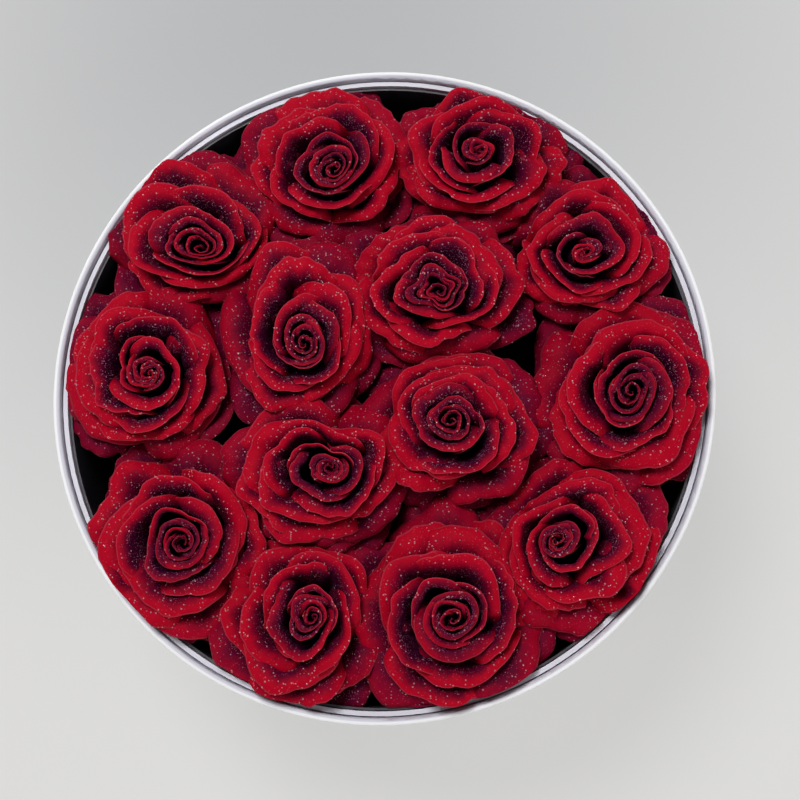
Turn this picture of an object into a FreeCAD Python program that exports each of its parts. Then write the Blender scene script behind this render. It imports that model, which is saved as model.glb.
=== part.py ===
"""Round flower box: a white board box with a sleeve, a liner and wet foam, planted with roses.

Millimetres, +Z up. The origin is the middle of the underside of the box, on the table.
"""

import FreeCAD
import Part
import math
import os

from FreeCAD import Vector

# Box
box_diameter = 220.0
box_height = 130.0
wall_thickness = 2.4
rim_round = 0.9
base_thickness = 2.4

# Inner sleeve: the loose gap round it, its board, and how far its top lies below the rim
sleeve_gap = 0.4
sleeve_thickness = 1.5
sleeve_drop = 2.5

# Waterproof liner: a thin pot that hangs close to the sleeve
liner_gap = 0.3
liner_thickness = 0.7
liner_drop = 1.5

# Wet foam: two bricks trimmed to half discs, and how far their top lies below the rim
foam_gap = 0.4
foam_drop = 52.9
foam_seam = 0.6
foam_chamfer = 6.0

# Stems
stem_diameter = 6.0
stem_clearance = 0.08
stem_floor_gap = 10.0
stem_foot_gap = 0.3
stem_cut_angle = 40.0

# Calyx: the hip under the petals and its sepals
hip_height = 10.0
hip_radius = 9.5
sepal_count = 5
sepal_reach = 22.0
sepal_width = 8.0
sepal_thickness = 0.9
sepal_droop = 4.5

# Rose heads
head_height = 46.0
head_gap = 0.8
outer_ring_rise = 14.0
inner_ring_rise = 19.0
petal_thickness = 1.0
petal_lean = 45.0
petal_slit = 1.2

# Petal whorls, from the outside in: petals, foot radius, width as a share of the head,
# drop of the rim below the top of the head, radius of the rolled rim, angle where the roll ends,
# share of the width at which the arc of a petal's outline is centred, turn of the whorl
WHORLS = (
    (5, 7.6, 1.00, 9.0, 5.0, -30.0, 0.35, 0.0),
    (5, 5.7, 0.74, 4.5, 3.4, -5.0, 0.30, 36.0),
    (3, 3.9, 0.50, 1.5, 2.2, 20.0, 0.20, 15.0),
)

# Heart: one rolled sheet
heart_first_radius = 1.1
heart_pitch = 1.7
heart_half_turns = 8
heart_sheet = 0.75
heart_foot_radius = 2.6
heart_flare_height = 16.0
heart_dome = 3.0

# Where each rose is planted: bearing in degrees from +X, and reach as a share of the sleeve's inner radius
OUTER_RING = (
    (103.0, 0.745),
    (68.0, 0.775),
    (34.5, 0.77),
    (0.0, 0.765),
    (-38.0, 0.77),
    (-72.5, 0.745),
    (-109.5, 0.765),
    (-144.0, 0.77),
    (174.5, 0.76),
    (139.5, 0.775),
)
INNER_RING = (
    (145.0, 0.335),
    (61.0, 0.335),
    (-28.0, 0.27),
    (-130.0, 0.31),
)

# Values that follow from the sizes above
box_radius = box_diameter / 2
wall_inner_radius = box_radius - wall_thickness
sleeve_radius = wall_inner_radius - sleeve_gap
sleeve_inner_radius = sleeve_radius - sleeve_thickness
sleeve_top = box_height - sleeve_drop
liner_radius = sleeve_inner_radius - liner_gap
liner_inner_radius = liner_radius - liner_thickness
liner_top = sleeve_top - liner_drop
liner_floor = base_thickness + liner_thickness
foam_radius = liner_inner_radius - foam_gap
foam_top = box_height - foam_drop
foam_height = foam_top - liner_floor
stem_radius = stem_diameter / 2

Z_AXIS = Vector(0, 0, 1)
MIDDLE = Vector(0, 0, 0)


def tube(outer_radius, inner_radius, bottom, top):
    """An upright tube about the box's axis."""
    outside = Part.makeCylinder(outer_radius, top - bottom, Vector(0, 0, bottom))
    return outside.cut(Part.makeCylinder(inner_radius, top - bottom, Vector(0, 0, bottom)))


def profile_point(radius, height):
    """A point of a profile that is turned about Z."""
    return Vector(radius, 0, height)


def turned(points_and_arcs, angle=360.0):
    """Turns a closed profile, given as edges, about Z."""
    face = Part.Face(Part.Wire(points_and_arcs))
    return face.revolve(MIDDLE, Z_AXIS, angle)


def line(start, end):
    return Part.LineSegment(start, end).toShape()


def arc(start, middle, end):
    return Part.Arc(start, middle, end).toShape()


def outer_wall():
    """The wrapped board wall, rounded along both edges of its rim."""
    wall = tube(box_radius, wall_inner_radius, 0, box_height)
    rim_edges = [e for e in wall.Edges if e.BoundBox.ZMin > box_height - 0.01 and e.Length > box_radius]
    return wall.makeFillet(min(rim_round, 0.4 * wall_thickness), rim_edges)


def base_board():
    """The disc inside the foot of the wall, level with its lower edge."""
    return Part.makeCylinder(wall_inner_radius, base_thickness)


def inner_sleeve():
    return tube(sleeve_radius, sleeve_inner_radius, base_thickness, sleeve_top)


def liner():
    """The waterproof pot, standing on the base board."""
    pot = Part.makeCylinder(liner_radius, liner_top - base_thickness, Vector(0, 0, base_thickness))
    return pot.cut(Part.makeCylinder(liner_inner_radius, liner_top - liner_floor, Vector(0, 0, liner_floor)))


def foam_half(side, roses):
    """One trimmed brick, side -1 or +1 in X, with a hole for each stem that stands in it."""
    block = Part.makeCylinder(foam_radius, foam_height, Vector(0, 0, liner_floor))
    top_edges = [e for e in block.Edges if e.BoundBox.ZMin > foam_top - 0.01]
    block = block.makeChamfer(foam_chamfer, top_edges)
    reach = 2 * foam_radius
    near_face = foam_seam / 2 if side > 0 else -foam_seam / 2 - reach
    half = Part.makeBox(reach, reach, foam_height, Vector(near_face, -foam_radius, liner_floor))
    block = block.common(half)
    for rose in roses:
        hole_bottom = rose.stem_bottom - stem_foot_gap
        hole = Part.makeCylinder(stem_radius + stem_clearance, foam_top - hole_bottom,
                                 Vector(rose.x, rose.y, hole_bottom))
        block = block.cut(hole)
    return block


class Rose:
    """Where one rose stands and how large its head is."""

    def __init__(self, number, bearing, reach, rise):
        self.number = number
        angle = math.radians(bearing)
        self.distance = reach * sleeve_inner_radius
        self.x = self.distance * math.cos(angle)
        self.y = self.distance * math.sin(angle)
        self.bearing = bearing
        self.head_top = box_height + rise
        self.petal_foot = self.head_top - head_height
        self.stem_top = self.petal_foot - hip_height
        self.stem_bottom = liner_floor + stem_floor_gap
        self.head_radius = 0.0

    def fit_between(self, others):
        """The widest head that stays clear of the sleeve and of every neighbour."""
        room = sleeve_inner_radius - self.distance
        for other in others:
            if other is not self:
                room = min(room, math.hypot(self.x - other.x, self.y - other.y) / 2)
        self.head_radius = room - head_gap / 2

    def planted(self, shape):
        """Moves a shape from the rose's own axis to its place, turned to its bearing."""
        placed = shape.copy()
        placed.rotate(MIDDLE, Z_AXIS, self.bearing)
        placed.translate(Vector(self.x, self.y, 0))
        return placed


def stem(rose):
    """A round stem with a slanting cut at its foot."""
    length = rose.stem_top - rose.stem_bottom
    rod = Part.makeCylinder(stem_radius, length, Vector(0, 0, rose.stem_bottom))
    slope = math.tan(math.radians(stem_cut_angle))
    depth = stem_diameter * slope
    corner = Vector(-stem_radius, -stem_diameter, rose.stem_bottom)
    wedge_corners = [corner, corner + Vector(stem_diameter, 0, 0), corner + Vector(stem_diameter, 0, depth)]
    wedge = Part.Face(Part.makePolygon(wedge_corners + [corner])).extrude(Vector(0, 2 * stem_diameter, 0))
    return rod.cut(wedge)


def calyx(rose):
    """The hip, flat on top where the petals stand, with pointed sepals that droop from its edge."""
    foot, top = rose.stem_top, rose.petal_foot
    waist = profile_point(0.75 * hip_radius, foot + 0.35 * hip_height)
    whole = turned([
        line(profile_point(0, foot), profile_point(stem_radius, foot)),
        arc(profile_point(stem_radius, foot), waist, profile_point(hip_radius, top)),
        line(profile_point(hip_radius, top), profile_point(0, top)),
        line(profile_point(0, top), profile_point(0, foot)),
    ])
    root = hip_radius - 2 * sepal_thickness
    tip = min(sepal_reach, rose.head_radius)
    upper = [profile_point(root, top - sepal_thickness),
             profile_point((root + tip) / 2, top - sepal_thickness),
             profile_point(tip, top - sepal_thickness - sepal_droop)]
    lower = [point - Vector(0, 0, sepal_thickness) for point in upper]
    dish = turned([
        arc(*upper),
        line(upper[2], lower[2]),
        arc(lower[2], lower[1], lower[0]),
        line(lower[0], upper[0]),
    ])
    leaf_foot = top - hip_height
    leaf_side = Vector((root + tip) / 2 - 0.1 * tip, sepal_width / 2, leaf_foot)
    leaf_start = Vector(root, sepal_width / 3, leaf_foot)
    leaf_tip = Vector(tip, 0, leaf_foot)
    mirror = [Vector(point.x, -point.y, point.z) for point in (leaf_start, leaf_side)]
    leaf = Part.Face(Part.Wire([
        arc(leaf_start, leaf_side, leaf_tip),
        arc(leaf_tip, mirror[1], mirror[0]),
        line(mirror[0], leaf_start),
    ])).extrude(Vector(0, 0, hip_height))
    blade = dish.common(leaf)
    for index in range(sepal_count):
        sepal = blade.copy()
        sepal.rotate(MIDDLE, Z_AXIS, (index + 0.5) * 360.0 / sepal_count)
        whole = whole.fuse(sepal)
    return whole.removeSplitter()


def petal_profile(foot_radius, rim_radius, rim_height, roll_radius, roll_end):
    """The section of a petal: out from its foot, up, then over in a rolled rim."""
    half = petal_thickness / 2
    upright = math.pi / 2
    lean = math.radians(petal_lean)
    end = math.radians(roll_end)
    belly = (rim_radius - half - foot_radius - roll_radius * (1 - math.sin(end))) / (1 - math.sin(lean))
    belly_middle = profile_point(foot_radius - belly * math.sin(lean), belly * math.cos(lean))
    roll_middle = profile_point(belly_middle.x + belly + roll_radius, rim_height - half - roll_radius)
    start = lean - 2 * petal_thickness / belly

    def on_belly(angle, offset):
        reach = belly + offset
        return belly_middle + profile_point(reach * math.sin(angle), -reach * math.cos(angle))

    def on_roll(angle, offset):
        reach = roll_radius - offset
        return roll_middle + profile_point(-reach * math.sin(angle), reach * math.cos(angle))

    def side(offset):
        return [
            arc(on_belly(start, offset), on_belly((start + upright) / 2, offset), on_belly(upright, offset)),
            line(on_belly(upright, offset), on_roll(upright, offset)),
            arc(on_roll(upright, offset), on_roll((upright + end) / 2, offset), on_roll(end, offset)),
        ]

    rim = line(on_roll(end, half), on_roll(end, -half))
    foot = line(on_belly(start, -half), on_belly(start, half))
    return side(half) + [rim] + side(-half)[::-1] + [foot]


def whorl(rose, petals, foot_radius, width_share, rim_drop, roll_radius, roll_end, scallop_share, turn):
    """One ring of petals, slit apart, round in outline and cut flat where they stand on the hip."""
    rim_radius = width_share * rose.head_radius
    edges = petal_profile(foot_radius, rim_radius, head_height - rim_drop, roll_radius, roll_end)
    span = 360.0 / petals - math.degrees(petal_slit / rim_radius)
    petal = turned(edges, span)
    petal.rotate(MIDDLE, Z_AXIS, -span / 2)
    scallop = scallop_share * rim_radius
    outline = Part.makeCylinder(rim_radius - scallop, head_height, Vector(scallop, 0, 0))
    petal = petal.common(outline)
    ring = []
    for index in range(petals):
        copy = petal.copy()
        copy.rotate(MIDDLE, Z_AXIS, turn + index * 360.0 / petals)
        copy.translate(Vector(0, 0, rose.petal_foot))
        ring.append(copy)
    return ring


def heart(rose):
    """The rolled sheet in the middle: half circles of growing radius, narrowed towards its foot."""
    half = heart_sheet / 2
    outer_side = []
    inner_side = []
    middle = 0.0
    for turn in range(heart_half_turns):
        way = 1 if turn % 2 == 0 else -1
        radius = heart_first_radius + turn * heart_pitch / 2
        for sheet_side, reach in ((outer_side, radius + half), (inner_side, radius - half)):
            sheet_side.append((Vector(middle + way * reach, 0, 0), Vector(middle, way * reach, 0),
                               Vector(middle - way * reach, 0, 0)))
        middle += way * heart_pitch / 2
    edges = [arc(*points) for points in outer_side]
    edges.append(line(outer_side[-1][2], inner_side[-1][2]))
    edges.extend(arc(end, top, start) for start, top, end in reversed(inner_side))
    edges.append(line(inner_side[0][0], outer_side[0][0]))
    sheet = Part.Face(Part.Wire(edges)).extrude(Vector(0, 0, head_height))
    full_radius = heart_first_radius + (heart_half_turns + 1) * heart_pitch / 2 + half
    envelope = turned([
        line(profile_point(0, 0), profile_point(heart_foot_radius, 0)),
        line(profile_point(heart_foot_radius, 0), profile_point(full_radius, heart_flare_height)),
        line(profile_point(full_radius, heart_flare_height), profile_point(full_radius, head_height - heart_dome)),
        line(profile_point(full_radius, head_height - heart_dome), profile_point(0, head_height)),
        line(profile_point(0, head_height), profile_point(0, 0)),
    ])
    rolled = sheet.common(envelope)
    rolled.translate(Vector(0, 0, rose.petal_foot))
    return rolled


def petals(rose):
    """Every petal of one head: the three whorls round the rolled heart."""
    solids = [heart(rose)]
    for row in WHORLS:
        solids.extend(whorl(rose, *row))
    return Part.makeCompound(solids)


def plan_roses():
    """All the roses, numbered from the outer ring in, each head as wide as its place allows."""
    places = [(bearing, reach, outer_ring_rise) for bearing, reach in OUTER_RING]
    places += [(bearing, reach, inner_ring_rise) for bearing, reach in INNER_RING]
    roses = [Rose(number, *place) for number, place in enumerate(places, start=1)]
    for rose in roses:
        rose.fit_between(roses)
    return roses


def main():
    os.makedirs("parts", exist_ok=True)
    roses = plan_roses()
    nodes = {
        "outer_wall": outer_wall(),
        "base_board": base_board(),
        "inner_sleeve": inner_sleeve(),
        "liner": liner(),
        "foam_half_left": foam_half(-1, [rose for rose in roses if rose.x < 0]),
        "foam_half_right": foam_half(1, [rose for rose in roses if rose.x >= 0]),
    }
    for rose in roses:
        name = f"rose_{rose.number:02d}"
        nodes[f"{name}_stem"] = rose.planted(stem(rose))
        nodes[f"{name}_calyx"] = rose.planted(calyx(rose))
        nodes[f"{name}_petals"] = rose.planted(petals(rose))
    for name, shape in nodes.items():
        shape.exportStep(f"parts/{name}.step")
    for rose in roses:
        print(f"rose {rose.number}: at {rose.x:.1f}, {rose.y:.1f}, head radius {rose.head_radius:.1f}")


main()
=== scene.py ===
"""Looks of the round flower box: red roses with dew on them, in a white board box."""

import math
import random

import bmesh
import bpy
from mathutils import Matrix, Vector
from mathutils.bvhtree import BVHTree


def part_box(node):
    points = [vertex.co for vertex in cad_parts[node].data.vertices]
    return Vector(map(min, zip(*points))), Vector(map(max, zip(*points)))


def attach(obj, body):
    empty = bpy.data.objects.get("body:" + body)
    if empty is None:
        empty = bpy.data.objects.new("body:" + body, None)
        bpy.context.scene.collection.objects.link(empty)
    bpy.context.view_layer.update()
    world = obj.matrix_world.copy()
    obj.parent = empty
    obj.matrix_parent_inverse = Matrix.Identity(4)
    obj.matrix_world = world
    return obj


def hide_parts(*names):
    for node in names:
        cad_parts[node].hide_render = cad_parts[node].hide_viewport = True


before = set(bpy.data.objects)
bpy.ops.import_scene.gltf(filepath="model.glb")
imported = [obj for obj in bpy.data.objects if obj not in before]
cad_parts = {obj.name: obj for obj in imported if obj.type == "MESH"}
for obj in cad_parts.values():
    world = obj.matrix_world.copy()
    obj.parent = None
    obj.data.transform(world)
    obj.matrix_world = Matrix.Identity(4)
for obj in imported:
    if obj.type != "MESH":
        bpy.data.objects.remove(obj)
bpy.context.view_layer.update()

MM = 0.001

# The photograph's view: it looks down into the box from a little to the lower right
VIEW_DISTANCE = 0.430
VIEW_TILT = math.radians(12.0)
VIEW_BEARING = math.radians(-65.5)
VIEW_LENS = 58.5
VIEW_ASIDE = Vector((0.0071, -0.0055))
VIEW_SENSOR = 36.0
VIEW_NEAREST = 0.01

# The studio, in metres and watts: each light has its place, what it points at, its size and its power
FLOOR_REACH = 20.0
# Painted shade on the floor: its darkest point and the distance over which it fades out
FLOOR_SHADE_MIDDLE = (-0.03, 0.20, 0.0)
FLOOR_FADE = 0.38
FLOOR_GLOW = 0.72
KEY_LIGHT = ((-0.20, 0.35, 1.20), (0, 0, 0.13), 0.45, 10.4)
FILL_LIGHT = ((0.7, -0.8, 0.9), (0, 0, 0.10), 0.9, 3.0)
SIDE_LIGHTS = 4
SIDE_LIGHT_START = 30.0
SIDE_LIGHT_RANGE = 1.4
SIDE_LIGHT_HEIGHT = 0.5
SIDE_LIGHT_AIM = (0, 0, 0.07)
SIDE_LIGHT_SIZE = 0.4
SIDE_LIGHT_POWER = 4.4

# The box, the seam of its wrapping paper and the painted shade on the rim's inner half. The rim's height and
# where that shade starts and ends are in metres, the rest in mm
RIM_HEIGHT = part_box("outer_wall")[1][2]
RIM_SHADE_START = 0.1090
RIM_SHADE_END = 0.1086
BOX_RADIUS = 110.0
SEAM_BEARING = math.radians(75.0)
SEAM_WIDTH = 14.0
SEAM_RISE = 0.22
SEAM_SINK = 0.03
SEAM_FOOT = 0.6
SEAM_TOP_GAP = 1.4
SEAM_COLUMNS = 14
SEAM_ROWS = 40

# Dew: falls tried on each rose, the drops' radii (mm), how flat and how high a drop sits,
# the steepest petal that holds one and how far above the rose it starts (m)
DEW_SEED = 500
DEW_TRIES = 2200
DEW_SIZES = (0.12, 0.38)
DEW_FLATNESS = 0.75
DEW_RAISE = 0.35
DEW_STEEPEST = 0.25
DEW_FALL = 0.02

# Each rose, in mm and degrees: where its heart lies from its stem (x, y), where the middle of its spread
# petals lies from its stem (x, y), half the spread (x, y), the turn of its petals and the way it winds
ROSES = (
    ((4.5, -7.0), (0.0, 0.0), (27.0, 26.5), 20.0, 1),
    ((3.0, -1.0), (5.5, 0.5), (29.0, 24.0), 75.0, -1),
    ((0.5, -7.0), (3.0, -2.5), (26.0, 23.5), 130.0, 1),
    ((0.5, -6.0), (-1.0, -6.5), (28.5, 29.5), 200.0, -1),
    ((-8.0, -2.5), (0.0, -5.0), (26.5, 27.0), 250.0, 1),
    ((1.0, -2.0), (-0.5, 1.5), (29.5, 31.0), 310.0, 1),
    ((8.0, 0.0), (2.0, -1.0), (25.5, 28.0), 15.0, -1),
    ((5.0, -5.0), (1.0, -5.0), (29.0, 30.0), 60.0, 1),
    ((6.5, -6.0), (2.0, -3.0), (27.5, 28.0), 110.0, -1),
    ((4.5, -10.0), (-1.5, 0.5), (29.0, 25.0), 170.0, 1),
    ((7.0, -11.0), (4.0, -3.0), (24.5, 28.5), 220.0, -1),
    ((4.0, -4.5), (2.0, -1.0), (28.5, 24.0), 280.0, 1),
    ((-1.0, -2.0), (0.0, -3.0), (26.0, 24.5), 330.0, -1),
    ((8.0, -5.0), (1.5, -5.0), (27.5, 24.0), 40.0, 1),
)

# Roses whose hearts grew uneven: how many lobes, how deep, facing where (degrees) and at what radius (mm).
# A single lobe is a notch
LOBES = {
    12: ((4, 0.20, 20.0, 6.5), (3, 0.12, 80.0, 12.0), (1, 0.25, -60.0, 14.0)),
    14: ((1, 0.38, 68.0, 15.0), (2, 0.10, 160.0, 8.0)),
    7: ((3, 0.10, 10.0, 8.0), (2, 0.08, 60.0, 13.0)),
}

# Roses whose bud is still tight: the bud's share of the usual size
BUDS = {2: 0.62, 3: 0.58, 5: 0.80, 7: 0.85, 9: 0.72, 14: 0.72}

# A petal's grid, then sizes in mm. A head keeps to the room inside the wall, with a little more above the rim
HEAD_SEED = 100
PETAL_COLUMNS = 30
BLADE_ROWS = 10
LIP_ROWS = 8
PETAL_ROWS = BLADE_ROWS + LIP_ROWS
PETAL_SKIN = 0.35
GOLDEN_TURN = 137.508
HEAD_HEIGHT = 46.0
HEAD_REACH = 27.5
WALL_ROOM = 104.6
RIM_ROOM = 106.6
RIM_RISE = 6.0
ROOM_GIVE = 0.06
SET_TURN = 55.0

# The sets of petals from the heart out. A pair goes from a set's first petal to its last: reach and height of
# the lip (mm), half the wrap, slope of the blade and of the lip's end (degrees), radius of the lip (mm).
# Then the offset that winds the set, drop of the sides, point, wave and ruffle (mm), twist of the lip's end
# (radians) and the turn from one petal to the next (degrees)
PETAL_SETS = (
    {"count": 8, "reach": (1.5, 8.0), "top": (44.6, 46.0), "wrap": (175, 112), "slope": (104, 96),
     "end": (20, -35), "lip": (0.45, 1.15), "slip": 1.3, "sides": 2.0, "tip": 0.4, "wave": 0.5,
     "ruffle": 0.12, "lip_twist_and_rim_shade": 0.3, "step": GOLDEN_TURN},
    {"count": 3, "reach": (9.6, 12.6), "top": (46.0, 45.0), "wrap": (112, 92), "slope": (94, 80),
     "end": (10, -25), "lip": (1.7, 2.9), "slip": 1.9, "sides": 4.5, "tip": 0.8, "wave": 0.9,
     "ruffle": 0.2, "lip_twist_and_rim_shade": 0.5, "step": 125.0},
    {"count": 6, "reach": (16.6, 22.8), "top": (44.0, 40.6), "wrap": (82, 68), "slope": (66, 54),
     "end": (0, -30), "lip": (3.6, 5.2), "slip": 1.8, "sides": 6.0, "tip": 1.4, "wave": 1.3,
     "ruffle": 0.3, "lip_twist_and_rim_shade": 0.5, "step": 146.0},
    {"count": 7, "reach": (24.4, 30.6), "top": (39.0, 33.5), "wrap": (64, 54), "slope": (50, 34),
     "end": (-22, -55), "lip": (5.0, 7.0), "slip": 1.8, "sides": 7.0, "tip": 2.2, "wave": 1.9,
     "ruffle": 0.4, "lip_twist_and_rim_shade": 0.6, "step": GOLDEN_TURN},
    {"count": 5, "reach": (31.4, 33.4), "top": (30.5, 26.0), "wrap": (54, 48), "slope": (28, 12),
     "end": (-22, -45), "lip": (5.5, 7.0), "slip": 1.0, "sides": 5.0, "tip": 2.0, "wave": 2.2,
     "ruffle": 0.5, "lip_twist_and_rim_shade": 0.6, "step": 97.0},
)


def smooth(low, high, value):
    """0 below low, 1 above high, with an easy change between."""
    share = min(max((value - low) / (high - low), 0.0), 1.0)
    return share * share * (3 - 2 * share)


def between(low, high, share):
    """The value at a share of the way from low to high."""
    return low + (high - low) * share


def new_piece(name, bm, material, body):
    """Makes the finished mesh a piece that rides on a body."""
    mesh = bpy.data.meshes.new(name)
    bm.to_mesh(mesh)
    bm.free()
    for face in mesh.polygons:
        face.use_smooth = True
    piece = bpy.data.objects.new(name, mesh)
    bpy.context.scene.collection.objects.link(piece)
    piece.data.materials.append(material)
    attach(piece, body)
    return piece


class Petal:
    """One petal as a sheet round the rose's axis: a blade rises from the foot, and its lip rolls over."""

    def __init__(self, kind, share, azimuth, size, rng):
        self.azimuth = math.radians(azimuth)
        self.reach = between(*kind["reach"], share) * size * rng.uniform(0.98, 1.02)
        self.top = between(*kind["top"], share) + rng.uniform(-0.7, 0.7)
        self.wrap = math.radians(between(*kind["wrap"], share) * rng.uniform(0.92, 1.08))
        self.slope = math.radians(between(*kind["slope"], share) + rng.uniform(-4, 4))
        self.end = math.radians(between(*kind["end"], share) + rng.uniform(-12, 12))
        self.lip = between(*kind["lip"], share) * rng.uniform(0.85, 1.15)
        self.slip = kind["slip"] * rng.uniform(0.7, 1.3)
        self.sides = kind["sides"] * rng.uniform(0.7, 1.3)
        self.tip = kind["tip"] * rng.uniform(0.4, 1.6)
        self.tip_side = rng.uniform(-0.25, 0.25)
        self.wave = kind["wave"] * rng.uniform(0.6, 1.4)
        self.wave_count = rng.uniform(1.1, 2.6)
        self.wave_phase = rng.uniform(0, math.tau)
        self.ruffle = kind["ruffle"] * rng.uniform(0.3, 1.7)
        self.ruffle_count = rng.uniform(5.0, 9.0)
        self.lip_twist_and_rim_shade = kind["lip_twist_and_rim_shade"] * rng.uniform(-1.0, 1.0)
        self.nicks = []
        for _ in range(3):
            nick_side = rng.uniform(-0.9, 0.9)
            self.nicks.append((nick_side, rng.uniform(0.5, 3.0) * kind["ruffle"]))
        self.openness = self.reach / HEAD_REACH
        self.foot = between(1.0, 6.0, min(self.openness, 1.0))
        self.tone = rng.random()

    def column(self, side):
        """Radius and height at each row of the sheet, at a share of its half width."""
        tuck = smooth(0.70, 1.0, abs(side)) ** 1.5
        wave = self.wave * math.sin(self.wave_count * math.pi * side + self.wave_phase)
        uneven = side + 0.15 * side * side
        wave += self.ruffle * math.sin(self.ruffle_count * math.pi * uneven + self.wave_phase)
        wave *= 1.0 - 0.6 * tuck
        point = self.tip * math.exp(-abs((side - self.tip_side) / 0.22) ** 1.4)
        for middle, depth in self.nicks:
            point -= depth * (1.0 - tuck) * math.exp(-((side - middle) / 0.07) ** 2)
        narrowed = 1 - 0.13 * self.openness * side * side
        reach = self.reach * narrowed + self.slip * side + point + 0.5 * wave
        dip = self.sides * abs(side) ** 2.4 + (2.5 + 5.0 * min(self.openness, 0.8)) * tuck
        top = self.top - dip - 0.3 * point + 0.7 * wave
        end = self.end - 0.35 * self.openness * side * side + self.lip_twist_and_rim_shade * side
        lip = self.lip * (1.0 - 0.6 * tuck)
        lip_start = Vector((reach - lip * (math.sin(self.slope) - math.sin(end)),
                            top - lip * (1 - math.cos(self.slope))))
        rise = Vector((math.cos(self.slope), math.sin(self.slope)))
        foot = Vector((self.foot, 0.0))
        cup = smooth(0.35, 0.85, self.openness)
        upright = Vector((0.15 * lip_start.y, 0.26 * lip_start.y))
        spread_out = Vector((0.62 * reach, 2.0))
        low_handle = foot + upright.lerp(spread_out, cup)
        high_handle = lip_start - rise * 0.42 * lip_start.y
        points = []
        for row in range(BLADE_ROWS + 1):
            t = row / BLADE_ROWS
            points.append(foot * (1 - t) ** 3 + low_handle * 3 * t * (1 - t) ** 2
                          + high_handle * 3 * t * t * (1 - t) + lip_start * t ** 3)
        for row in range(1, LIP_ROWS + 1):
            slope = between(self.slope, end, row / LIP_ROWS)
            points.append(lip_start + Vector((math.sin(self.slope) - math.sin(slope),
                                              math.cos(slope) - math.cos(self.slope))) * lip)
        return points

    def place(self, side, point, row, way):
        """The point of the sheet in the rose's own frame."""
        width = between(0.4, 1.0, smooth(0.0, 0.5, row / PETAL_ROWS))
        angle = self.azimuth + way * side * self.wrap * width
        return Vector((point.x * math.cos(angle), point.x * math.sin(angle), point.y))


def add_petal(bm, petal, way, shape_head):
    """A grid bent into one petal, with its place on the petal kept for the finish."""
    layer = bm.verts.layers.float_color["petal"]
    grid = bmesh.ops.create_grid(bm, x_segments=PETAL_COLUMNS, y_segments=PETAL_ROWS, size=1.0)
    columns = {}
    for vert in grid["verts"]:
        side = vert.co.x
        key = round(side * PETAL_COLUMNS)
        if key not in columns:
            columns[key] = petal.column(side)
        row = round((vert.co.y + 1) / 2 * PETAL_ROWS)
        vert[layer] = (side * 0.5 + 0.5, row / PETAL_ROWS, petal.openness, petal.tone)
        vert.co = shape_head(petal.place(side, columns[key][row], row, way))


def inside_box(place):
    """Draws a point in where it would pass through the wall, and lets it lie over the rim above that."""
    distance = math.hypot(place.x, place.y)
    room = between(WALL_ROOM, RIM_ROOM, smooth(0.0, RIM_RISE, (place.z - RIM_HEIGHT) / MM)) * MM
    if distance > room:
        share = (room + ROOM_GIVE * (distance - room)) / distance
        place = Vector((place.x * share, place.y * share, place.z))
    return place


def rose_head(number, heart, middle, spread, turn, way, foot):
    """All the petals of one rose in one mesh."""
    rng = random.Random(HEAD_SEED + number)
    bm = bmesh.new()
    bm.verts.layers.float_color.new("petal")

    lean = math.radians(turn * 3.0)
    squeeze = rng.uniform(0.02, 0.16)
    lobes = LOBES.get(number, ((2, 0.05, turn, 12.0), (3, 0.05, 2.0 * turn, 7.0)))

    def shape_head(point):
        """Leans, widens and lobes the round head, and sets it on its foot in the box."""
        rise = point.z / HEAD_HEIGHT
        reach = math.hypot(point.x, point.y)
        bearing = math.atan2(point.y, point.x)
        outward = min(reach / HEAD_REACH, 1.0)
        swell = 1.0 + squeeze * (1.0 - outward) * math.cos(2.0 * (bearing - lean))
        for count, depth, facing, size in lobes:
            near = math.exp(-((reach - size) / (0.6 * size)) ** 2)
            turned = bearing - math.radians(facing)
            if count == 1:
                swell -= depth * near * math.exp(-(math.remainder(turned, math.tau) / 0.42) ** 2)
            else:
                swell += depth * near * math.cos(count * turned)
        swell = between(1.0, swell, smooth(0.3, 0.8, rise))
        x = point.x * swell * spread[0] / HEAD_REACH + between(heart[0], middle[0], outward) * rise
        y = point.y * swell * spread[1] / HEAD_REACH + between(heart[1], middle[1], outward) * rise
        return inside_box(foot + Vector((x, y, point.z)) * MM)

    for kind in PETAL_SETS:
        size = BUDS.get(number, 1.0) if kind is PETAL_SETS[0] else 1.0
        for index in range(kind["count"]):
            share = index / (kind["count"] - 1)
            azimuth = turn + way * index * kind["step"] + rng.uniform(-9, 9)
            add_petal(bm, Petal(kind, share, azimuth, size, rng), way, shape_head)
        turn += SET_TURN
    return bm


class Socket:
    """A shader socket that takes arithmetic."""

    def __init__(self, shader, link):
        self.shader = shader
        self.link = link

    def math(self, operation, first, second):
        return self.shader.node("ShaderNodeMath", {"operation": operation}, {0: first, 1: second})

    def __add__(self, other):
        return self.math("ADD", self, other)

    def __radd__(self, other):
        return self.math("ADD", other, self)

    def __sub__(self, other):
        return self.math("SUBTRACT", self, other)

    def __mul__(self, other):
        return self.math("MULTIPLY", self, other)


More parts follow.
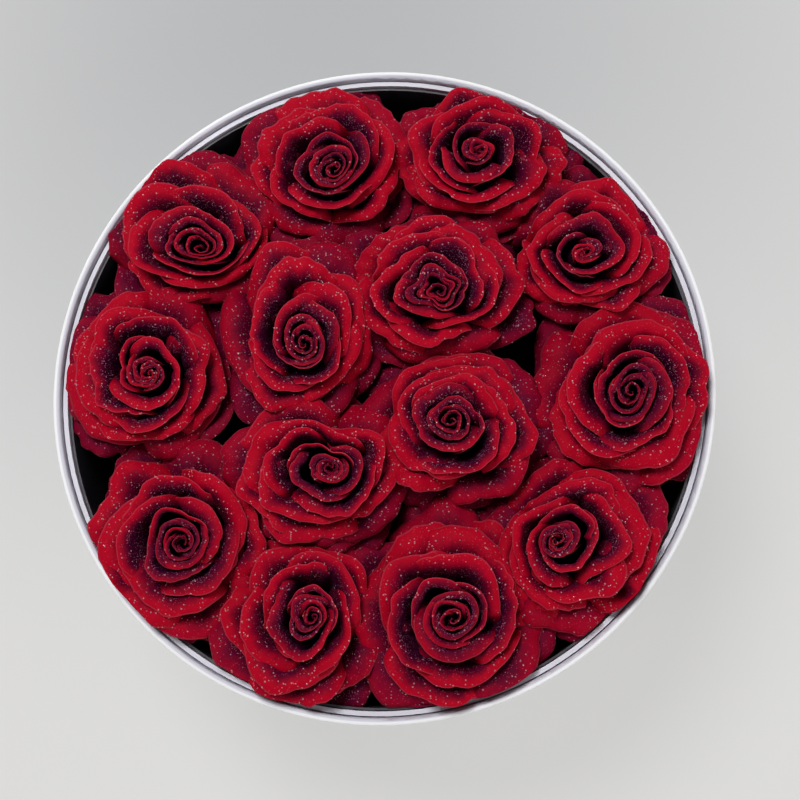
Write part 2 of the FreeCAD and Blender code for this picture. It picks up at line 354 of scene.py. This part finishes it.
class Finish:
    """One node material."""

    def __init__(self, name, tree=None):
        if tree is None:
            self.material = bpy.data.materials.new(name)
            self.material.use_nodes = True
            tree = self.material.node_tree
        self.tree = tree
        self.tree.nodes.clear()

    def node(self, kind, settings, inputs, output=0):
        """Adds a node: settings first, then the values or links of its sockets. Gives one output."""
        node = self.tree.nodes.new(kind)
        for key, value in settings.items():
            if key == "stops":
                self.set_stops(node.color_ramp, value)
            else:
                setattr(node, key, value)
        for key, value in inputs.items():
            if isinstance(value, Socket):
                self.tree.links.new(value.link, node.inputs[key])
            else:
                node.inputs[key].default_value = value
        return Socket(self, node.outputs[output])

    @staticmethod
    def set_stops(ramp, stops):
        while len(ramp.elements) < len(stops):
            ramp.elements.new(1.0)
        for element, (place, colour) in zip(ramp.elements, stops):
            element.position = place
            element.color = (*colour, 1.0)

    def place(self):
        return self.node("ShaderNodeTexCoord", {}, {}, "Object")

    def noise(self, scale, detail, roughness=0.5, where=None):
        inputs = {"Vector": where or self.place(), "Scale": scale, "Detail": detail, "Roughness": roughness}
        return self.node("ShaderNodeTexNoise", {}, inputs)

    def cells(self, scale):
        """Distance from the middle of the nearest of many scattered cells."""
        return self.node("ShaderNodeTexVoronoi", {}, {"Vector": self.place(), "Scale": scale}, "Distance")

    def stretched(self, scale):
        return self.node("ShaderNodeMapping", {}, {"Vector": self.place(), "Scale": scale})

    def step(self, value, start, end, top=1.0):
        """0 before the start and top past the end, even between."""
        inputs = {"Value": value, "From Min": start, "From Max": end, "To Max": top}
        return self.node("ShaderNodeMapRange", {}, inputs)

    def ramp(self, value, stops):
        return self.node("ShaderNodeValToRGB", {"stops": stops}, {"Fac": value})

    def mix(self, share, first, second):
        return self.node("ShaderNodeMix", {"data_type": "RGBA"}, {0: share, 6: first, 7: second}, 2)

    def bump(self, height, distance, strength):
        return self.node("ShaderNodeBump", {}, {"Height": height, "Distance": distance, "Strength": strength})

    def surface(self, inputs):
        shader = self.node("ShaderNodeBsdfPrincipled", {}, inputs)
        self.output(shader)
        return self.material

    def output(self, shader, kind="ShaderNodeOutputMaterial"):
        end = self.tree.nodes.new(kind)
        self.tree.links.new(shader.link, end.inputs["Surface"])


def petal_finish():
    """Velvet wine red, darkened down each blade into the rose by painted shade, with painted shade in the
    heart and on the outermost petals, painted dew glints and a thin pale edge painted as a highlight.
    """
    f = Finish("petal_velvet")
    data = f.node("ShaderNodeAttribute", {"attribute_name": "petal"}, {}, "Color")
    tone = f.node("ShaderNodeAttribute", {"attribute_name": "petal"}, {}, "Alpha")
    side = f.node("ShaderNodeSeparateColor", {}, {"Color": data}, "Red")
    along = Socket(f, side.link.node.outputs["Green"])
    openness = Socket(f, side.link.node.outputs["Blue"])
    cloud = f.noise(110.0, 4.0, 0.6)
    fine = f.noise(1400.0, 3.0, 0.7)
    strand = f.node("ShaderNodeCombineXYZ", {}, {"X": side * 34.0, "Y": along * 2.5, "Z": tone * 60.0})
    vein = f.noise(1.0, 3.0, 0.6, strand)
    # Painted shade: the ramp below darkens each petal from its lip down its blade into the rose, less on open
    # petals, and keeps the outer petals' backs lighter; the grain is the velvet's own uneven tone.
    heart_shade = f.step(openness, 0.5, 0.1)
    spread = f.step(openness, 0.35, 0.85)
    grain = (cloud - 0.5) * 0.34 + (vein - 0.5) * 0.14 + (fine - 0.5) * 0.14 + (tone - 0.5) * 0.16
    outside = f.step(openness, 0.78, 0.95, 0.76)
    blade = f.node("ShaderNodeMath", {"operation": "MAXIMUM"}, {0: along + spread * 0.19, 1: outside})
    # Painted shade: the heart's petals are made a little darker.
    shade = blade - heart_shade * 0.02 - 0.03 + grain
    colour = f.ramp(shade, (
        (0.34, (0.030, 0.001, 0.019)),
        (0.57, (0.036, 0.000, 0.015)),
        (0.78, (0.104, 0.000, 0.013)),
        (1.00, (0.350, 0.000, 0.012)),
    ))
    # Painted shade: the outermost petals darken as they fall away at the rose's edge.
    under_shade = f.step(openness, 0.96, 1.18)
    under_shaded = f.mix(under_shade * 0.70, colour, (0.090, 0.001, 0.020, 1.0))
    # Painted glints: small pale pink dots standing in for light caught by fine dew.
    cells = f.cells(1000.0)
    dew_glint = f.step(cells, 0.22, 0.10)
    dew_glinted = f.mix(dew_glint * 0.38, under_shaded, (0.70, 0.060, 0.090, 1.0))
    # Painted glints of dew: pale dots on the darker middle of the petals, in patches.
    glint_cells = f.cells(1500.0)
    glint = f.step(glint_cells, 0.30, 0.16)
    upper = f.step(shade, 0.80, 0.66)
    lower = f.step(along, 0.40, 0.52)
    patch = f.step(cloud, 0.36, 0.56)
    glinted = f.mix(glint * upper * lower * patch * 0.65, dew_glinted, (0.62, 0.30, 0.38, 1.0))
    # Painted highlight: a thin pale line along each petal's edge.
    edge_highlight = f.step(along, 0.965, 1.0)
    edge_lit = f.mix(edge_highlight * 0.6, glinted, (0.46, 0.050, 0.080, 1.0))
    return f.surface({
        "Base Color": edge_lit, "Roughness": 0.55 + fine * 0.2,
        "Normal": f.bump(fine * 0.6 + cloud * 1.6 + vein * 0.8, 0.0003, 0.5), "Specular IOR Level": 0.05,
    })


def dew_finish():
    """Water drops, partly clear; their pale pink base colour is painted, standing in for glints and the red
    petals seen in them.
    """
    f = Finish("dew_water")
    return f.surface({"Base Color": (1.0, 0.50, 0.57, 1.0), "Roughness": 0.06, "IOR": 1.33,
                      "Transmission Weight": 0.70})


def paper_finish(name, colour, shade, lip_twist_and_rim_shade=None):
    """White wrapping paper with a fine tooth and faint uneven tone. A third colour, when given, is painted
    shade on the inner half of the rim.
    """
    f = Finish(name)
    broad = f.noise(14.0, 3.0)
    tooth = f.noise(1600.0, 4.0, 0.7)
    base = f.mix(broad * 0.6 + tooth * 0.2, (*colour, 1.0), (*shade, 1.0))
    # Painted shade: the inner half of the rim is coloured a darker lavender grey.
    if lip_twist_and_rim_shade:
        base = f.mix(rim_shade_mask(f) * 0.85, base, (*lip_twist_and_rim_shade, 1.0))
    return f.surface({"Base Color": base, "Roughness": 0.5 + tooth * 0.2,
                      "Normal": f.bump(tooth + broad * 0.5, 0.00006, 0.5)})


def rim_shade_mask(f):
    """1 on the inner half of the rim, where shade is painted, and 0 outside it."""
    where = f.node("ShaderNodeVectorMath", {"operation": "MULTIPLY"}, {0: f.place(), 1: (1.0, 1.0, 0.0)})
    radius = f.node("ShaderNodeVectorMath", {"operation": "LENGTH"}, {0: where}, "Value")
    return f.step(radius, RIM_SHADE_START, RIM_SHADE_END)


def film_finish():
    """Black plastic liner."""
    f = Finish("liner_film")
    stretch = f.stretched((70.0, 70.0, 9.0))
    crinkle = f.noise(1.0, 4.0, 0.6, stretch)
    base = f.ramp(crinkle, ((0.3, (0.014, 0.011, 0.018)), (0.8, (0.036, 0.030, 0.044))))
    return f.surface({"Base Color": base, "Roughness": 0.35 + crinkle * 0.3,
                      "Normal": f.bump(crinkle, 0.0012, 0.5)})


def foam_finish():
    """Wet green floral foam, open and crumbly; its green is darkened beyond the wet foam's own as painted
    shade deep in the box.
    """
    f = Finish("wet_foam_shaded")
    cells = f.cells(900.0)
    blot = f.noise(40.0, 4.0)
    base = f.mix(blot, (0.006, 0.016, 0.008, 1.0), (0.018, 0.040, 0.018, 1.0))
    return f.surface({"Base Color": base, "Roughness": 0.7 + cells * 0.3,
                      "Normal": f.bump(cells + blot * 0.6, 0.0005, 0.8)})


def green_finish(name, dark, light):
    """Living green skin: long streaks, a waxy bloom and a few brown scars."""
    f = Finish(name)
    stretch = f.stretched((700.0, 700.0, 45.0))
    streak = f.noise(1.0, 4.0, 0.6, stretch)
    blot = f.noise(90.0, 3.0)
    share = f.step(streak * 0.5 + blot * 0.5, 0.36, 0.64)
    green = f.mix(share, (*dark, 1.0), (*light, 1.0))
    spots = f.cells(130.0)
    scar = f.step(spots, 0.16, 0.09)
    base = f.mix(scar * 0.8, green, (0.085, 0.045, 0.020, 1.0))
    return f.surface({"Base Color": base, "Roughness": 0.42 + blot * 0.2,
                      "Normal": f.bump(streak + scar * 0.6, 0.0004, 0.6)})


def floor_finish():
    """Pale grey sweep with painted shade that darkens it towards the back, and that keeps the box's shadow
    faint to the camera.
    """
    f = Finish("studio_floor")
    spot = f.node("ShaderNodeVectorMath", {"operation": "DISTANCE"}, {0: f.place(), 1: FLOOR_SHADE_MIDDLE}, "Value")
    easy = {"interpolation_type": "SMOOTHSTEP"}
    fade = f.node("ShaderNodeMapRange", easy, {"Value": spot, "From Max": FLOOR_FADE})
    base = f.mix(fade, (0.47, 0.475, 0.485, 1.0), (0.71, 0.705, 0.695, 1.0))
    seen = f.node("ShaderNodeLightPath", {}, {}, "Is Camera Ray")
    matt = f.node("ShaderNodeBsdfDiffuse", {}, {"Color": base})
    flat = f.node("ShaderNodeEmission", {}, {"Color": base})
    f.output(f.node("ShaderNodeMixShader", {}, {0: seen * FLOOR_GLOW, 1: matt, 2: flat}))
    return f.material


def world_finish(world):
    """A dim room that looks as pale as the floor where it is seen straight or in something shiny."""
    f = Finish("studio_world", world.node_tree)
    seen = f.node("ShaderNodeLightPath", {}, {}, "Is Camera Ray")
    rays = seen.link.node.outputs
    shown = seen + Socket(f, rays["Is Glossy Ray"]) + Socket(f, rays["Is Transmission Ray"])
    colour = f.mix(shown, (0.125, 0.128, 0.135, 1.0), (0.62, 0.62, 0.62, 1.0))
    f.output(f.node("ShaderNodeBackground", {}, {"Color": colour}), "ShaderNodeOutputWorld")


def dress(node, material):
    """Gives a CAD node its finish."""
    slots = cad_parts[node].data.materials
    slots.clear()
    slots.append(material)


def drop_shape():
    """One small drop, flattened where it sits."""
    bm = bmesh.new()
    bmesh.ops.create_uvsphere(bm, u_segments=6, v_segments=3, radius=1.0)
    bmesh.ops.scale(bm, vec=(1.0, 1.0, DEW_FLATNESS), verts=bm.verts)
    mesh = bpy.data.meshes.new("drop_shape")
    bm.to_mesh(mesh)
    bm.free()
    return mesh


def add_dew(name, head, body, material, drop, rng, top):
    """Drops that fell from above: each sits where a fall meets a petal."""
    tree = BVHTree.FromBMesh(head)
    low = [min(vert.co[axis] for vert in head.verts) for axis in range(2)]
    high = [max(vert.co[axis] for vert in head.verts) for axis in range(2)]
    bm = bmesh.new()
    for _ in range(DEW_TRIES):
        start = Vector((rng.uniform(low[0], high[0]), rng.uniform(low[1], high[1]), top + DEW_FALL))
        size = between(*DEW_SIZES, rng.random() ** 3.0) * MM
        place, normal, _, _ = tree.ray_cast(start, Vector((0, 0, -1)))
        if place is None:
            continue
        if normal.z < 0:
            normal = -normal
        if normal.z < DEW_STEEPEST:
            continue
        turn = normal.to_track_quat("Z", "Y").to_matrix().to_4x4()
        one = drop.copy()
        seat = Matrix.Translation(place + normal * size * DEW_RAISE)
        one.transform(seat @ turn @ Matrix.Scale(size, 4))
        bm.from_mesh(one)
        bpy.data.meshes.remove(one)
    new_piece(name, bm, material, body)


def wrap_seam(material):
    """The strip where the wrapping paper laps over itself, down the back of the wall."""
    bm = bmesh.new()
    grid = bmesh.ops.create_grid(bm, x_segments=SEAM_COLUMNS, y_segments=SEAM_ROWS, size=1.0)
    for vert in grid["verts"]:
        side = vert.co.x
        height = between(SEAM_FOOT, RIM_HEIGHT / MM - SEAM_TOP_GAP, vert.co.y * 0.5 + 0.5)
        lift = SEAM_RISE * (1.0 - smooth(0.86, 1.0, abs(side))) - SEAM_SINK
        radius = BOX_RADIUS + lift
        angle = SEAM_BEARING + side * SEAM_WIDTH / 2 / BOX_RADIUS
        vert.co = Vector((radius * math.cos(angle), radius * math.sin(angle), height)) * MM
    new_piece("wrap_seam", bm, material, "box")


def camera():
    """The photograph's camera."""
    data = bpy.data.cameras.new("photo_camera")
    data.lens = VIEW_LENS
    data.sensor_width = VIEW_SENSOR
    data.clip_start = VIEW_NEAREST
    cam = bpy.data.objects.new("photo_camera", data)
    bpy.context.scene.collection.objects.link(cam)
    rim = Vector((0, 0, RIM_HEIGHT))
    level = math.sin(VIEW_TILT)
    away = Vector((level * math.cos(VIEW_BEARING), level * math.sin(VIEW_BEARING), math.cos(VIEW_TILT)))
    cam.location = rim + away * VIEW_DISTANCE
    forward = (rim + Vector((VIEW_ASIDE.x, VIEW_ASIDE.y, 0)) - cam.location).normalized()
    right = forward.cross(Vector((0, 1, 0))).normalized()
    up = right.cross(forward)
    cam.rotation_euler = Matrix((right, up, -forward)).transposed().to_euler()
    bpy.context.scene.camera = cam


def area_light(name, place, target, size, power):
    """A round softbox that points at the target."""
    data = bpy.data.lights.new(name, "AREA")
    data.shape = "DISK"
    data.size = size
    data.energy = power
    lamp = bpy.data.objects.new(name, data)
    bpy.context.scene.collection.objects.link(lamp)
    lamp.visible_camera = False
    lamp.location = place
    lamp.rotation_euler = (Vector(target) - Vector(place)).to_track_quat("-Z", "Y").to_euler()


def studio():
    """Floor, world and soft lights."""
    bm = bmesh.new()
    bmesh.ops.create_grid(bm, x_segments=8, y_segments=8, size=FLOOR_REACH)
    mesh = bpy.data.meshes.new("studio_floor")
    bm.to_mesh(mesh)
    bm.free()
    floor = bpy.data.objects.new("studio_floor", mesh)
    bpy.context.scene.collection.objects.link(floor)
    floor.data.materials.append(floor_finish())
    world = bpy.data.worlds.new("studio_world")
    bpy.context.scene.world = world
    world.use_nodes = True
    world_finish(world)
    area_light("key_softbox", *KEY_LIGHT)
    area_light("fill_softbox", *FILL_LIGHT)
    for index in range(SIDE_LIGHTS):
        turn = math.radians(SIDE_LIGHT_START + 360 / SIDE_LIGHTS * index)
        place = (SIDE_LIGHT_RANGE * math.cos(turn), SIDE_LIGHT_RANGE * math.sin(turn), SIDE_LIGHT_HEIGHT)
        area_light(f"side_softbox_{index}", place, SIDE_LIGHT_AIM, SIDE_LIGHT_SIZE, SIDE_LIGHT_POWER)


def main():
    """Dresses the CAD pieces, grows the roses and sets up the studio."""
    velvet = petal_finish()
    water = dew_finish()
    drop = drop_shape()
    stem_green = green_finish("stem_green", (0.022, 0.060, 0.012), (0.120, 0.220, 0.055))
    calyx_green = green_finish("calyx_green", (0.026, 0.070, 0.016), (0.135, 0.245, 0.070))
    # Its last colour is painted shade on the inner half of the rim.
    wrap = paper_finish("wrap_paper", (0.82, 0.82, 0.825), (0.77, 0.77, 0.78), (0.53, 0.52, 0.60))
    dress("outer_wall", wrap)
    # Painted shade: the seam's paper is a little darker than the wall's, standing in for the shadow along its
    # lapped edge.
    wrap_seam(paper_finish("seam_paper_shaded", (0.745, 0.74, 0.76), (0.70, 0.695, 0.715)))
    dress("base_board", paper_finish("base_paper", (0.82, 0.815, 0.82), (0.76, 0.755, 0.76)))
    dress("inner_sleeve", paper_finish("sleeve_paper", (0.70, 0.69, 0.76), (0.64, 0.63, 0.70)))
    dress("liner", film_finish())
    foam = foam_finish()
    dress("foam_half_left", foam)
    dress("foam_half_right", foam)
    for number, rose in enumerate(ROSES, start=1):
        name = f"rose_{number:02d}"
        dress(f"{name}_stem", stem_green)
        dress(f"{name}_calyx", calyx_green)
        stem_low, stem_high = (Vector(corner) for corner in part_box(f"{name}_stem"))
        head_low, head_high = (Vector(corner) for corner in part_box(f"{name}_petals"))
        middle = (stem_low + stem_high) / 2
        foot = Vector((middle.x, middle.y, head_low.z))
        head = rose_head(number, *rose, foot)
        bare = head.copy()
        piece = new_piece(f"{name}_head", head, velvet, name)
        skin = piece.modifiers.new("petal_skin", "SOLIDIFY")
        skin.thickness = PETAL_SKIN * MM
        skin.offset = 0.0
        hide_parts(f"{name}_petals")
        add_dew(f"{name}_dew", bare, name, water, drop, random.Random(DEW_SEED + number), head_high.z)
        bare.free()
    studio()
    camera()
    bpy.context.scene.view_settings.view_transform = "Standard"


main()
